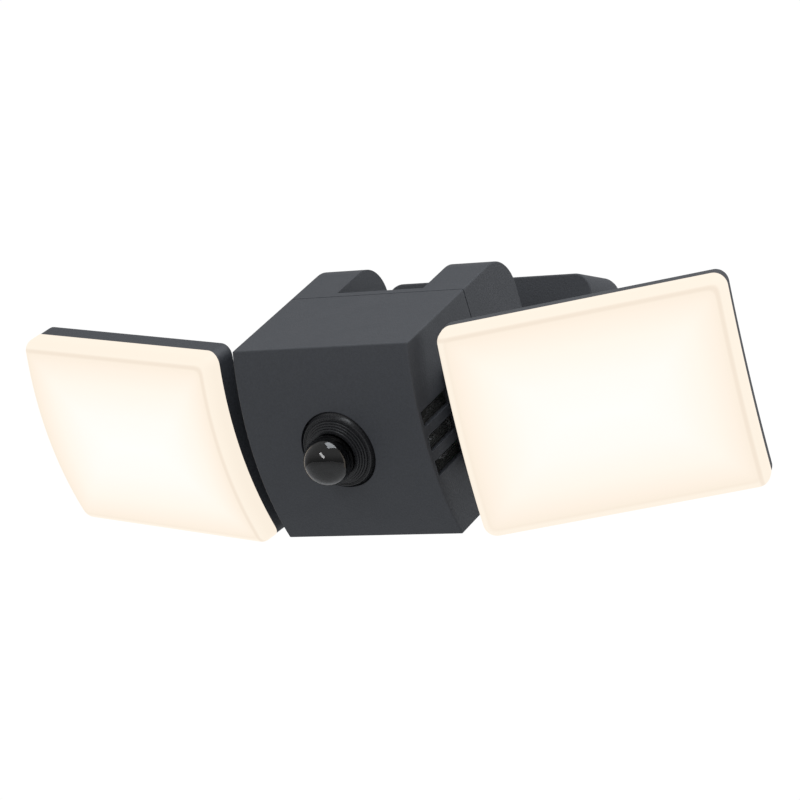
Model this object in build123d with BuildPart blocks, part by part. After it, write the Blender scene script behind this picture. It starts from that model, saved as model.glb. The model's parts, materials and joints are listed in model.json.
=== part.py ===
from build123d import *
from math import sqrt
import os

# Floodlight security camera. A wall box carries a fixed arm, a camera body tilts on the arm, and on
# each side of the body a short arm swivels and holds a panel light that tilts.
#
# Row frame, mm: the origin is the centre of the wall box's back face, +Y points into the wall, +Z up,
# and the camera looks towards -Y. Left and right are as a viewer in front sees them: right is +X.
#
# Each moving part is drawn in its own frame, level and square, then put in its rest pose:
#   camera frame  origin on the tilt axis, midway between the body's sides
#   swivel frame  origin on the vertical axis of a light's arm
#   light frame   origin on the tilt axis of a light, behind its middle

# ---------------------------------------------------------------- driving dimensions
# camera body
CAMERA_W = 100.0
CAMERA_H = 102.3
EDGE_TO_HINGE = 87.0  # front edge to tilt axis
FRONT_RADIUS = 150.0  # of the bowed front face
SEAM_Y = -27.8  # front shell meets rear shell
SEAM_GROOVE = 0.5  # shadow gap along the seam
SEAM_GROOVE_DEPTH = 0.8
SLOT_W = 50.0  # between the two lugs
SLOT_FLOOR_Y = -23.35
LUG_RADIUS = 20.0  # round corners and reach of the lugs behind the tilt axis
WALL = 2.5
EDGE_ROUND = 0.8

# camera dome and its stepped ring
POCKET_R = 20.3
POCKET_FLOOR_Y = -92.0
RING_R = 18.6
DOME_R = 12.2
DOME_WALL = 1.2
DOME_PROUD = 9.9  # dome centre in front of the front face

# side vents
VENT_H = 8.0
VENT_PITCH = 13.0
VENT_FRONT_Y = -92.7
VENT_BACK_Y = -65.9

# panel lights
LIGHT_W = 140.0
LIGHT_H = 104.2
LIGHT_CORNER = 6.7
LIGHT_RADIUS = 212.0  # of the bowed front face
DIFFUSER_DEPTH = 9.7
LIGHT_DEPTH = 20.8
LIGHT_WALL = 2.0
BACK_INSET = 0.3  # the back shell is a little smaller than the diffuser
FACE_TO_TILT = 33.0  # light's front face to its tilt axis

# swivelling arms of the lights
SWIVEL_X = 66.0
SWIVEL_Y = -52.4
SWIVEL_Z = -1.2
ARM_OUT = 57.0  # swivel axis to the middle of the light
ARM_FORWARD = 10.5
KNUCKLE_R = 9.0
KNUCKLE_H = 26.0
BARREL_R = 8.0
BARREL_W = 26.0
PIN_R = 3.0
PIN_BORE_R = 3.05

# wall box, fixed arm and tilt hinge
BOX_W = 122.0
BOX_H = 95.0
BOX_DEPTH = 31.0
BOX_CORNER = 9.7
GASKET = 2.0
HINGE_OUT = 89.0  # wall to tilt axis
HINGE_R = 18.0
HINGE_W = 47.9
BOLT_R = 4.0
BOLT_BORE_R = 4.05
CHANNEL_Z = -11.0  # wire channel through the arm
WALL_HOLES = (84.0, 56.0)
WALL_HOLE_R = 2.5
PLATE = 1.5
CABLE_R = 4.5  # cable entry through the grommet

# rest pose, degrees
CAMERA_TILT = 30.0
SWIVEL_REST = {"left": -14.4, "right": 20.0}
TILT_REST = {"left": 1.9, "right": -7.9}

SIDES = {"left": -1, "right": 1}
FRONT_Y = -EDGE_TO_HINGE - (FRONT_RADIUS - sqrt(FRONT_RADIUS**2 - (CAMERA_H / 2) ** 2))
DOME_Y = FRONT_Y - DOME_PROUD

# ---------------------------------------------------------------- frames and helpers
CAMERA_FRAME = Location((0, -HINGE_OUT, 0), (CAMERA_TILT, 0, 0))


def swivel_frame(name):
    """Place of a light's arm: on its vertical axis, turned to its rest angle."""
    place = (SIDES[name] * SWIVEL_X, SWIVEL_Y, SWIVEL_Z)
    return CAMERA_FRAME * Location(place, (0, 0, SWIVEL_REST[name]))


def light_frame(name):
    """Place of a light: on its tilt axis, turned to its rest angle."""
    place = (SIDES[name] * ARM_OUT, -ARM_FORWARD, 0)
    return swivel_frame(name) * Location(place, (TILT_REST[name], 0, 0))


def save(piece, label, frame=Location()):
    """Put a finished piece in its rest pose, label it and write it."""
    piece = piece.moved(frame)
    piece.label = label
    export_step(piece, f"parts/{label}.step")


def tube(outer, inner, start, end, axis_plane):
    """A ring or tube about the normal of axis_plane, between two offsets along it."""
    with BuildPart() as ring:
        with BuildSketch(axis_plane.offset(start)):
            Circle(outer)
            if inner:
                Circle(inner, mode=Mode.SUBTRACT)
        extrude(amount=end - start)
    return ring.part


def block(width, height, front, back, centre=(0, 0), corner=0.0):
    """A block seen from the front: width along X, height along Z, between two Y planes."""
    with BuildPart() as box:
        with BuildSketch(Plane.XZ.offset(-back)):
            with Locations(centre):
                if corner:
                    RectangleRounded(width, height, corner)
                else:
                    Rectangle(width, height)
        extrude(amount=back - front)
    return box.part


def posts(radius, front, back, places, hole=0.0):
    """Round posts along Y, between two Y planes, at (x, z) places."""
    with BuildPart() as group:
        with BuildSketch(Plane.XZ.offset(-back)):
            with Locations(*places):
                Circle(radius)
                if hole:
                    Circle(hole, mode=Mode.SUBTRACT)
        extrude(amount=back - front)
    return group.part


def corners(x, z):
    """The four (x, z) places that are mirror images of one."""
    return [(x, z), (-x, z), (-x, -z), (x, -z)]


def screws(places, head_r, head_h, shank_r, shank, head_y):
    """Pan-head screws driven towards -Y, their heads standing on the plane y = head_y."""
    with BuildPart() as group:
        add(posts(head_r, head_y, head_y + head_h, places))
        add(posts(shank_r, head_y - shank, head_y, places))
        with BuildSketch(Plane.XZ.offset(-head_y - head_h)):
            with Locations(*places):
                RegularPolygon(head_r / 2, 6)
        extrude(amount=head_h / 2, mode=Mode.SUBTRACT)
    return group.part


# ---------------------------------------------------------------- camera body
def front_outline(inset, back):
    """The front shell's solid outline: bowed in front, square behind, inset all round."""
    half = CAMERA_H / 2 - inset
    centre = FRONT_Y + FRONT_RADIUS
    edge = centre - sqrt((FRONT_RADIUS - inset) ** 2 - half**2)
    with BuildPart() as outline:
        with BuildSketch(Plane.YZ):
            with BuildLine():
                ThreePointArc((edge, half), (FRONT_Y + inset, 0), (edge, -half))
                Polyline((edge, -half), (back, -half), (back, half), (edge, half))
            make_face()
        extrude(amount=CAMERA_W / 2 - inset, both=True)
    return outline.part


def rear_outline(inset, front, inner_x=0.0):
    """The rear shell's solid outline with round rear corners, inset all round.

    With inner_x it is two solids, outside x = +inner_x and x = -inner_x.
    """
    half = CAMERA_H / 2 - inset
    rear = LUG_RADIUS - inset
    with BuildPart() as outline:
        with BuildSketch(Plane.YZ):
            with BuildLine():
                FilletPolyline((front, half), (rear, half), (rear, -half), (front, -half), radius=rear)
                Line((front, -half), (front, half))
            make_face()
        extrude(amount=CAMERA_W / 2 - inset, both=True)
        if inner_x:
            add(block(2 * inner_x, CAMERA_H, front - 1, LUG_RADIUS + 1), mode=Mode.SUBTRACT)
    return outline.part


LENS_HOLE_R = 10.5
BOARD_POSTS = corners(37, 37)
SENSOR_POSTS = corners(11.5, 11.5)
SCREW_POSTS = corners(19, 40)
POWER_POSTS = corners(21, 28)
MAIN_BOARD_Y = -60.0
SENSOR_BOARD_Y = -76.0
POWER_BOARD_Y = -36.0
BOARD = 1.6
BRACKET_SCREWS = corners(9, 23.5)  # (y, z) from the swivel axis
BRACKET_SCREW_R = 1.4


def bracket_screw_holes(side, radius, inner, outer):
    """Cylinders along X at one bracket's screws, between two distances from the middle."""
    with BuildPart() as holes:
        with BuildSketch(Plane.YZ.offset(side * inner)):
            with Locations(*[(SWIVEL_Y + y, SWIVEL_Z + z) for y, z in BRACKET_SCREWS]):
                Circle(radius)
        extrude(amount=side * (outer - inner))
    return holes.part


with BuildPart() as front_shell:
    add(front_outline(0, SEAM_Y))
    side_edges = front_shell.faces().sort_by(Axis.Y)[0].edges()
    long_edges = front_shell.edges().filter_by(Axis.Y)
    fillet(side_edges + long_edges, EDGE_ROUND)
    add(front_outline(WALL, SEAM_Y + 1), mode=Mode.SUBTRACT)
    # thick round seat behind the dome ring
    add(tube(POCKET_R + 2.7, 0, 88.5, 94, Plane.XZ))
    add(tube(POCKET_R, 0, -POCKET_FLOOR_Y, 100, Plane.XZ), mode=Mode.SUBTRACT)
    add(tube(LENS_HOLE_R, 0, 88, 100, Plane.XZ), mode=Mode.SUBTRACT)
    # posts for the boards and bosses for the shell screws, each boss on a rib
    add(posts(3, -90.5, MAIN_BOARD_Y, BOARD_POSTS, hole=1.1))
    add(posts(2.2, -89, SENSOR_BOARD_Y, SENSOR_POSTS, hole=0.9))
    add(posts(4, -44, SEAM_Y, SCREW_POSTS))
    for x, z in SCREW_POSTS:
        add(block(2, 9.5, -44, -30, centre=(x, z * 1.11)))
    add(posts(1.5, -41, SEAM_Y + 1, SCREW_POSTS), mode=Mode.SUBTRACT)
    # side vents and bracket screw holes
    for side in SIDES.values():
        with BuildSketch(Plane.YZ.offset(side * (CAMERA_W / 2 + 1))):
            with Locations(((VENT_FRONT_Y + VENT_BACK_Y) / 2, 0)):
                with GridLocations(1, VENT_PITCH, 1, 3):
                    RectangleRounded(VENT_BACK_Y - VENT_FRONT_Y, VENT_H, 0.6)
        extrude(amount=-side * (WALL + 2), mode=Mode.SUBTRACT)
        add(bracket_screw_holes(side, BRACKET_SCREW_R, 46, 51), mode=Mode.SUBTRACT)

BOLT_HEAD_R = 6.5
BOLT_HEAD_X = 43.8
CAP_R = 11.9
CAP_X = 47.8

with BuildPart() as rear_shell:
    add(rear_outline(0, SEAM_Y))
    outer_edges = rear_shell.edges().filter_by_position(Axis.Y, SEAM_Y + 0.1, LUG_RADIUS)
    fillet(outer_edges.filter_by(lambda edge: abs(edge.center().X) > CAMERA_W / 2 - 1), EDGE_ROUND)
    add(block(CAMERA_W + 2, CAMERA_H + 2, SEAM_Y, SEAM_Y + SEAM_GROOVE), mode=Mode.SUBTRACT)
    groove_w = CAMERA_W - 2 * SEAM_GROOVE_DEPTH
    groove_h = CAMERA_H - 2 * SEAM_GROOVE_DEPTH
    add(block(groove_w, groove_h, SEAM_Y, SEAM_Y + SEAM_GROOVE))
    add(block(SLOT_W, CAMERA_H + 2, SLOT_FLOOR_Y, LUG_RADIUS + 1), mode=Mode.SUBTRACT)
    # hollow lugs and a shallow recess behind the slot's floor
    add(rear_outline(WALL, SEAM_Y - 1, inner_x=SLOT_W / 2 + WALL), mode=Mode.SUBTRACT)
    add(block(CAMERA_W - 2 * WALL, CAMERA_H - 2 * WALL, SEAM_Y - 1, -25.8), mode=Mode.SUBTRACT)
    for side in SIDES.values():
        add(tube(10, 0, side * (SLOT_W / 2), side * (CAMERA_W / 2 - 1), Plane.YZ))
        add(tube(CAP_R + 2, 0, side * 43, side * (CAMERA_W / 2 - 1), Plane.YZ))
        add(tube(CAP_R + 0.1, 0, side * CAP_X, side * (CAMERA_W / 2 + 1), Plane.YZ), mode=Mode.SUBTRACT)
        add(tube(BOLT_HEAD_R + 0.6, 0, side * BOLT_HEAD_X, side * CAP_X, Plane.YZ), mode=Mode.SUBTRACT)
    add(tube(BOLT_R, 0, -CAMERA_W / 2, CAMERA_W / 2, Plane.YZ), mode=Mode.SUBTRACT)
    add(posts(4.5, SEAM_Y, -25, SCREW_POSTS))
    add(posts(1.6, SEAM_Y - 1, SLOT_FLOOR_Y + 1, SCREW_POSTS), mode=Mode.SUBTRACT)
    add(posts(3.1, -25.35, SLOT_FLOOR_Y + 1, SCREW_POSTS), mode=Mode.SUBTRACT)
    add(posts(3, POWER_BOARD_Y + BOARD, -25, POWER_POSTS, hole=1.1))
    add(posts(5, -30, SLOT_FLOOR_Y + 1, [(0, 0)]), mode=Mode.SUBTRACT)

SEAL_FRONT_Y = -29.3
SEAL_BACK_Y = -26.2

with BuildPart() as shell_seal:
    add(block(CAMERA_W - 2 * WALL, CAMERA_H - 2 * WALL, SEAL_FRONT_Y, SEAL_BACK_Y))
    add(
        block(CAMERA_W - 2 * WALL - 2.4, CAMERA_H - 2 * WALL - 2.4, SEAL_FRONT_Y - 1, SEAL_BACK_Y + 1),
        mode=Mode.SUBTRACT,
    )

with BuildPart() as wire_grommet:
    add(tube(5, 2.5, -SLOT_FLOOR_Y, 25.8, Plane.XZ))
    add(tube(6.5, 2.5, 25.8, 27, Plane.XZ))

with BuildPart() as tilt_bolt:
    add(tube(BOLT_R, 0, -CAP_X + 0.3, BOLT_HEAD_X, Plane.YZ))
    add(tube(BOLT_HEAD_R, 0, BOLT_HEAD_X, CAP_X - 0.2, Plane.YZ))
    with BuildSketch(Plane.YZ.offset(CAP_X - 0.2)):
        RegularPolygon(3.2, 6)
    extrude(amount=-2.4, mode=Mode.SUBTRACT)

with BuildPart() as tilt_nut:
    with BuildSketch(Plane.YZ.offset(-CAP_X + 0.3)):
        RegularPolygon(BOLT_HEAD_R, 6)
        Circle(BOLT_R, mode=Mode.SUBTRACT)
    extrude(amount=CAP_X - 0.3 - BOLT_HEAD_X)

with BuildPart() as hinge_caps:
    for side in SIDES.values():
        add(tube(CAP_R, 0, side * CAP_X, side * (CAMERA_W / 2 + 0.6), Plane.YZ))
    rims = hinge_caps.edges().filter_by(GeomType.CIRCLE)
    fillet(rims.filter_by(lambda edge: abs(edge.center().X) > CAMERA_W / 2), 0.5)

# ---------------------------------------------------------------- dome, ring and camera module
STEPS = 5  # fine ridges on the ring
STEP_IN = 0.8
STEP_OUT = 0.7
LAND_R = RING_R - 2  # flat outer land of the ring
LAND_Y = FRONT_Y - 1.2
NECK_R = 10.45
NECK_Y = DOME_Y + sqrt(DOME_R**2 - NECK_R**2)
FLANGE_R = 12.5
FLANGE_Y = -95.5
SEAL_Y = -94.2


def ring_profile():
    """Half section of the dome's ring as (radius, y) points, stepping forwards and inwards."""
    points = [(FLANGE_R + 0.2, POCKET_FLOOR_Y), (RING_R, POCKET_FLOOR_Y), (RING_R, LAND_Y), (LAND_R, LAND_Y)]
    for step in range(STEPS):
        radius = LAND_R - step * STEP_IN
        front = LAND_Y - (step + 1) * STEP_OUT
        points += [(radius, front), (radius - STEP_IN, front)]
    front = LAND_Y - STEPS * STEP_OUT
    points += [(DOME_R - 0.6, front), (NECK_R + 0.25, NECK_Y), (NECK_R + 0.25, FLANGE_Y)]
    points += [(FLANGE_R + 0.2, FLANGE_Y)]
    return points


with BuildPart() as lens_ring:
    with BuildSketch(Plane.XY):
        Polygon(*ring_profile(), align=None)
    revolve(axis=Axis.Y)

with BuildPart() as dome_cover:
    with BuildSketch(Plane.XY):
        with Locations((0, DOME_Y)):
            Circle(DOME_R)
        with Locations((0, NECK_Y + 10)):
            Rectangle(40, 20, mode=Mode.SUBTRACT)
        with Locations((0, (NECK_Y + SEAL_Y) / 2)):
            Rectangle(2 * NECK_R, SEAL_Y - NECK_Y)
        with Locations((0, (FLANGE_Y + SEAL_Y) / 2)):
            Rectangle(2 * FLANGE_R, SEAL_Y - FLANGE_Y)
        with Locations((0, DOME_Y)):
            Circle(DOME_R - DOME_WALL, mode=Mode.SUBTRACT)
        with Locations((0, DOME_Y + 9)):
            Rectangle(2 * (NECK_R - DOME_WALL), 12, mode=Mode.SUBTRACT)
        with Locations((-20, DOME_Y)):
            Rectangle(40, 60, mode=Mode.SUBTRACT)
    revolve(axis=Axis.Y)

with BuildPart() as dome_seal:
    add(tube(FLANGE_R, LENS_HOLE_R + 0.1, -SEAL_Y, -POCKET_FLOOR_Y, Plane.XZ))

BARREL_FRONT_Y = -107.0
BARREL_BACK_Y = -80.0
LENS_R = 4.8

with BuildPart() as lens_barrel:
    add(tube(6, 3.5, -BARREL_BACK_Y, -BARREL_FRONT_Y, Plane.XZ))
    add(tube(LENS_R, 0, -BARREL_FRONT_Y - 2, -BARREL_FRONT_Y, Plane.XZ), mode=Mode.SUBTRACT)
    add(tube(5.4, 0, 96, 92, Plane.XZ))
    add(tube(3.5, 0, 80, 105, Plane.XZ), mode=Mode.SUBTRACT)

with BuildPart() as lens_glass:
    add(tube(LENS_R, 0, -BARREL_FRONT_Y - 2, -BARREL_FRONT_Y + 1, Plane.XZ))
    fillet(lens_glass.faces().sort_by(Axis.Y)[0].edges(), 1.4)

with BuildPart() as ir_board:
    add(tube(9, 6.05, 100.2, 101.2, Plane.XZ))

with BuildPart() as ir_leds:
    with BuildSketch(Plane.XZ.offset(101.2)):
        with PolarLocations(7.6, 6):
            Circle(1.25)
    extrude(amount=1.5)
    fillet(ir_leds.faces().sort_by(Axis.Y)[:6].edges(), 0.5)

with BuildPart() as lens_holder:
    add(block(20, 20, -86, SENSOR_BOARD_Y))
    add(tube(6, 0, -BARREL_BACK_Y, 87, Plane.XZ), mode=Mode.SUBTRACT)
    add(block(14, 14, BARREL_BACK_Y, SENSOR_BOARD_Y + 1), mode=Mode.SUBTRACT)
    add(posts(2.4, -87, SENSOR_BOARD_Y + 1, SENSOR_POSTS), mode=Mode.SUBTRACT)

with BuildPart() as image_sensor:
    add(block(10, 8, SENSOR_BOARD_Y - 1.2, SENSOR_BOARD_Y))

with BuildPart() as sensor_board:
    add(block(28, 28, SENSOR_BOARD_Y, SENSOR_BOARD_Y + BOARD, corner=1.5))

# ---------------------------------------------------------------- boards and sounders
with BuildPart() as main_board:
    add(block(84, 84, MAIN_BOARD_Y, MAIN_BOARD_Y + BOARD, corner=2))

with BuildPart() as main_chips:
    add(block(16, 16, MAIN_BOARD_Y - 1.6, MAIN_BOARD_Y, centre=(8, -10)))
    add(block(26, 20, MAIN_BOARD_Y - 3, MAIN_BOARD_Y, centre=(-20, 22)))
    add(block(11, 8, MAIN_BOARD_Y - 1.2, MAIN_BOARD_Y, centre=(24, -28)))
    add(block(12, 9, MAIN_BOARD_Y - 1.2, MAIN_BOARD_Y, centre=(16, 24)))

with BuildPart() as power_board:
    add(block(84, 66, POWER_BOARD_Y, POWER_BOARD_Y + BOARD, corner=2))

with BuildPart() as transformer:
    add(block(22, 26, -52, POWER_BOARD_Y, centre=(-20, 8), corner=1))

with BuildPart() as capacitors:
    add(posts(5, -54, POWER_BOARD_Y, [(8, 14), (8, -2), (24, 6)]))
    fillet(capacitors.faces().sort_by(Axis.Y)[:3].edges(), 0.8)

with BuildPart() as antenna:
    add(block(34, 0.4, -72, -62, centre=(0, CAMERA_H / 2 - WALL - 0.2)))


def sounder(side, radius, inner):
    """A round loudspeaker that faces a side vent: basket, narrower magnet and a front rim."""
    outer = CAMERA_W / 2 - WALL - 1
    plane = Plane((0, -77, 0), x_dir=(0, 1, 0), z_dir=(1, 0, 0))
    with BuildPart() as speaker:
        add(tube(radius, 0, side * (outer - 4), side * outer, plane))
        add(tube(radius * 0.6, 0, side * inner, side * (outer - 4), plane))
        add(tube(radius - 2, 0, side * (outer - 1.2), side * outer, plane), mode=Mode.SUBTRACT)
    return speaker.part


MESH = 0.6

with BuildPart() as vent_meshes:
    for side in SIDES.values():
        with BuildSketch(Plane.YZ.offset(side * (CAMERA_W / 2 - WALL))):
            with Locations(((VENT_FRONT_Y + VENT_BACK_Y) / 2 + 0.9, 0)):
                Rectangle(VENT_BACK_Y - VENT_FRONT_Y - 0.4, 2 * VENT_PITCH + VENT_H + 4)
        extrude(amount=-side * MESH)

# ---------------------------------------------------------------- side brackets, on the camera body
EAR_H = 8.0
EAR_GAP = KNUCKLE_H / 2 + 0.2
BRACKET_T = 4.0
BRACKET_W = 25.0


def swivel_bracket(side):
    """A plate on the body's side with two ears round the swivel axis."""
    face = side * CAMERA_W / 2
    with BuildPart() as bracket:
        with BuildSketch(Plane.YZ.offset(face)):
            with Locations((SWIVEL_Y, SWIVEL_Z)):
                RectangleRounded(BRACKET_W, 54, 4)
        extrude(amount=side * BRACKET_T)
        for level in (SWIVEL_Z + EAR_GAP, SWIVEL_Z - EAR_GAP - EAR_H):
            with BuildSketch(Plane.XY.offset(level)):
                with Locations((side * SWIVEL_X, SWIVEL_Y)):
                    Circle(KNUCKLE_R + 0.5)
                with Locations((side * (SWIVEL_X + CAMERA_W / 2) / 2, SWIVEL_Y)):
                    Rectangle(SWIVEL_X - CAMERA_W / 2, 2 * KNUCKLE_R + 1)
            extrude(amount=EAR_H)
        with BuildSketch(Plane.XY.offset(SWIVEL_Z - 30)):
            with Locations((side * SWIVEL_X, SWIVEL_Y)):
                Circle(PIN_R)
        extrude(amount=60, mode=Mode.SUBTRACT)
        add(bracket_screw_holes(side, BRACKET_SCREW_R, 49, 60), mode=Mode.SUBTRACT)
    return bracket.part


with BuildPart() as bracket_screws:
    for side in SIDES.values():
        add(bracket_screw_holes(side, BRACKET_SCREW_R, 48, CAMERA_W / 2 + BRACKET_T))
        plate_x = CAMERA_W / 2 + BRACKET_T
        add(bracket_screw_holes(side, 2.3, plate_x, plate_x + 1.5))

PIN_END = EAR_GAP + EAR_H + 0.8

with BuildPart() as swivel_pins:
    for side in SIDES.values():
        with BuildSketch(Plane.XY.offset(SWIVEL_Z - PIN_END)):
            with Locations((side * SWIVEL_X, SWIVEL_Y)):
                Circle(PIN_R)
        extrude(amount=2 * PIN_END - 0.8)
        with BuildSketch(Plane.XY.offset(SWIVEL_Z + PIN_END - 0.8)):
            with Locations((side * SWIVEL_X, SWIVEL_Y)):
                Circle(PIN_R + 2)
        extrude(amount=2)

# ---------------------------------------------------------------- light arms, in the swivel frame
BEAM_BACK = 11.5
BEAM_FRONT = -0.5
BEAM_H = 22.0
NECK_W = 24.0
NECK_H = 15.0


BEAM_MID = (BEAM_BACK + BEAM_FRONT) / 2
BEAM_REACH = ARM_OUT + NECK_W / 2

# the right arm; the left one is its mirror image
with BuildPart() as light_arm:
    with BuildSketch(Plane.XY.offset(-BEAM_H / 2)):
        with Locations((BEAM_REACH / 2, BEAM_MID)):
            Rectangle(BEAM_REACH, BEAM_BACK - BEAM_FRONT)
    extrude(amount=BEAM_H)
    fillet(light_arm.edges().filter_by(Axis.X), 3)
    add(tube(KNUCKLE_R, 0, -KNUCKLE_H / 2, KNUCKLE_H / 2, Plane.XY))
    with BuildSketch(Plane.XY.offset(-NECK_H / 2)):
        with Locations((ARM_OUT, (BEAM_MID - ARM_FORWARD) / 2)):
            Rectangle(NECK_W, ARM_FORWARD + BEAM_MID)
    extrude(amount=NECK_H)
    barrel_plane = Plane((ARM_OUT, -ARM_FORWARD, 0), x_dir=(0, 1, 0), z_dir=(1, 0, 0))
    add(tube(BARREL_R, 0, -BARREL_W / 2, BARREL_W / 2, barrel_plane))
    add(tube(PIN_BORE_R, 0, -BARREL_W, BARREL_W, barrel_plane), mode=Mode.SUBTRACT)
    add(tube(PIN_BORE_R, 0, -KNUCKLE_H, KNUCKLE_H, Plane.XY), mode=Mode.SUBTRACT)


# ---------------------------------------------------------------- lights, in the light frame
def light_slab(inset, front, back, rounding=0.0, back_rounding=0.0):
    """A slab of the light's outline between two depths behind the bowed front face.

    Both big faces are bowed about X; rounding softens the front edge, back_rounding the rear edge.
    """
    half = LIGHT_H / 2 + 1
    bow = LIGHT_RADIUS - sqrt(LIGHT_RADIUS**2 - half**2)
    near = front - FACE_TO_TILT
    far = back - FACE_TO_TILT
    with BuildPart() as slab:
        with BuildSketch(Plane.XZ.offset(-30)):
            RectangleRounded(LIGHT_W - 2 * inset, LIGHT_H - 2 * inset, LIGHT_CORNER - inset)
        extrude(amount=80)
        with BuildSketch(Plane.YZ):
            with BuildLine():
                ThreePointArc((near + bow, half), (near, 0), (near + bow, -half))
                Line((near + bow, -half), (far + bow, -half))
                ThreePointArc((far + bow, -half), (far, 0), (far + bow, half))
                Line((far + bow, half), (near + bow, half))
            make_face()
        extrude(amount=LIGHT_W, both=True, mode=Mode.INTERSECT)
        bowed = slab.faces().filter_by(GeomType.CYLINDER).sort_by(SortBy.AREA)[-2:].sort_by(Axis.Y)
        if rounding:
            fillet(bowed[0].edges(), rounding)
        if back_rounding:
            fillet(bowed[1].edges(), back_rounding)
    return slab.part


with BuildPart() as diffuser:
    add(light_slab(0, 0, DIFFUSER_DEPTH, rounding=5.5))
    add(light_slab(LIGHT_WALL, LIGHT_WALL, DIFFUSER_DEPTH + 1, rounding=3.5), mode=Mode.SUBTRACT)

LED_BOARD_Y = -20.0
LIGHT_POSTS = corners(50, 34)
LIGHT_POST_END = -10.8
LED_SIZE = 3.5

with BuildPart() as light_back:
    add(light_slab(BACK_INSET, DIFFUSER_DEPTH, LIGHT_DEPTH, back_rounding=2.5))
    add(
        light_slab(LIGHT_WALL + BACK_INSET, DIFFUSER_DEPTH - 1, LIGHT_DEPTH - LIGHT_WALL),
        mode=Mode.SUBTRACT,
    )
    add(posts(3, LED_BOARD_Y + BOARD, LIGHT_POST_END, LIGHT_POSTS))

with BuildPart() as light_seal:
    seal_inset = LIGHT_WALL + BACK_INSET
    add(light_slab(seal_inset, DIFFUSER_DEPTH - 1.5, DIFFUSER_DEPTH + 1.5))
    add(light_slab(seal_inset + 1.2, DIFFUSER_DEPTH - 2, DIFFUSER_DEPTH + 2), mode=Mode.SUBTRACT)

with BuildPart() as led_board:
    add(block(118, 84, LED_BOARD_Y, LED_BOARD_Y + BOARD, corner=3))

with BuildPart() as leds:
    with BuildSketch(Plane.XZ.offset(-LED_BOARD_Y)):
        with GridLocations(19, 20, 6, 4):
            Rectangle(LED_SIZE, LED_SIZE)
    extrude(amount=0.8)

BASE_Y = -10.6
LIGHT_EAR_IN = BARREL_W / 2 + 0.2
LIGHT_EAR = 6.0
LIGHT_SCREWS = corners(22.3, 12)

with BuildPart() as light_bracket:
    add(block(52, 34, -16, BASE_Y, corner=5))
    for side in SIDES.values():
        with BuildSketch(Plane.YZ.offset(side * LIGHT_EAR_IN)):
            Circle(BARREL_R + 0.5)
            with Locations((BASE_Y / 2, 0)):
                Rectangle(-BASE_Y, 2 * BARREL_R + 1)
        extrude(amount=side * LIGHT_EAR)
    add(tube(PIN_R, 0, -30, 30, Plane.YZ), mode=Mode.SUBTRACT)
    add(posts(1.5, -20, -5, LIGHT_SCREWS), mode=Mode.SUBTRACT)
    add(light_slab(0, 0, LIGHT_DEPTH), mode=Mode.SUBTRACT)

with BuildPart() as light_back_drilled:
    add(light_back.part)
    add(posts(1.5, -17, -10, LIGHT_SCREWS), mode=Mode.SUBTRACT)

light_screws = screws(LIGHT_SCREWS, 2.4, 1.6, 1.5, 6, BASE_Y)

with BuildPart() as light_pin:
    pin_end = LIGHT_EAR_IN + LIGHT_EAR
    add(tube(PIN_R, 0, -pin_end - 1.5, pin_end, Plane.YZ))
    add(tube(PIN_R + 1.8, 0, pin_end, pin_end + 2.2, Plane.YZ))

# ---------------------------------------------------------------- wall box and fixed arm
FLANGE_HOLES = corners(25, 18)
ARM_SCREW_R = 2.0
BOX_WALL = 2.5
BOX_FRONT = 3.0
TABS_X = (-35, 35)
TAB_SCREW_Y = -9.0

with BuildPart() as wall_box:
    add(block(BOX_W, BOX_H, -BOX_DEPTH, -GASKET, corner=BOX_CORNER))
    fillet(wall_box.faces().sort_by(Axis.Y)[0].edges(), 1)
    inside_w = BOX_W - 2 * BOX_WALL
    inside_h = BOX_H - 2 * BOX_WALL
    inside_corner = BOX_CORNER - BOX_WALL
    add(
        block(inside_w, inside_h, -BOX_DEPTH + BOX_FRONT, 1, corner=inside_corner),
        mode=Mode.SUBTRACT,
    )
    add(posts(ARM_SCREW_R, -BOX_DEPTH - 1, -20, FLANGE_HOLES), mode=Mode.SUBTRACT)
    add(posts(3.5, -BOX_DEPTH - 1, -20, [(0, CHANNEL_Z)]), mode=Mode.SUBTRACT)
    # two counterbored holes in the bottom wall
    with BuildSketch(Plane.XY.offset(-BOX_H / 2)):
        with Locations(*[(x, TAB_SCREW_Y) for x in TABS_X]):
            Circle(1.6)
    extrude(amount=BOX_WALL, mode=Mode.SUBTRACT)
    with BuildSketch(Plane.XY.offset(-BOX_H / 2)):
        with Locations(*[(x, TAB_SCREW_Y) for x in TABS_X]):
            Circle(2.9)
    extrude(amount=1.6, mode=Mode.SUBTRACT)

with BuildPart() as box_screws:
    with BuildSketch(Plane.XY.offset(-BOX_H / 2)):
        with Locations(*[(x, TAB_SCREW_Y) for x in TABS_X]):
            Circle(2.8)
    extrude(amount=1.6)
    with BuildSketch(Plane.XY.offset(-BOX_H / 2 + 1.6)):
        with Locations(*[(x, TAB_SCREW_Y) for x in TABS_X]):
            Circle(1.5)
    extrude(amount=6)
    with BuildSketch(Plane.XY.offset(-BOX_H / 2)):
        with Locations(*[(x, TAB_SCREW_Y) for x in TABS_X]):
            Rectangle(0.7, 3.2)
            Rectangle(3.2, 0.7)
    extrude(amount=0.9, mode=Mode.SUBTRACT)

with BuildPart() as wall_gasket:
    add(block(BOX_W - 1, BOX_H - 1, -GASKET, 0, corner=BOX_CORNER - 0.5))
    add(block(BOX_W - 9, BOX_H - 9, -GASKET - 1, 1, corner=BOX_CORNER - 4.5), mode=Mode.SUBTRACT)

TAB_Z = BOX_H / 2 - BOX_WALL - 0.1
TAB_Y = GASKET + 0.2

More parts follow.
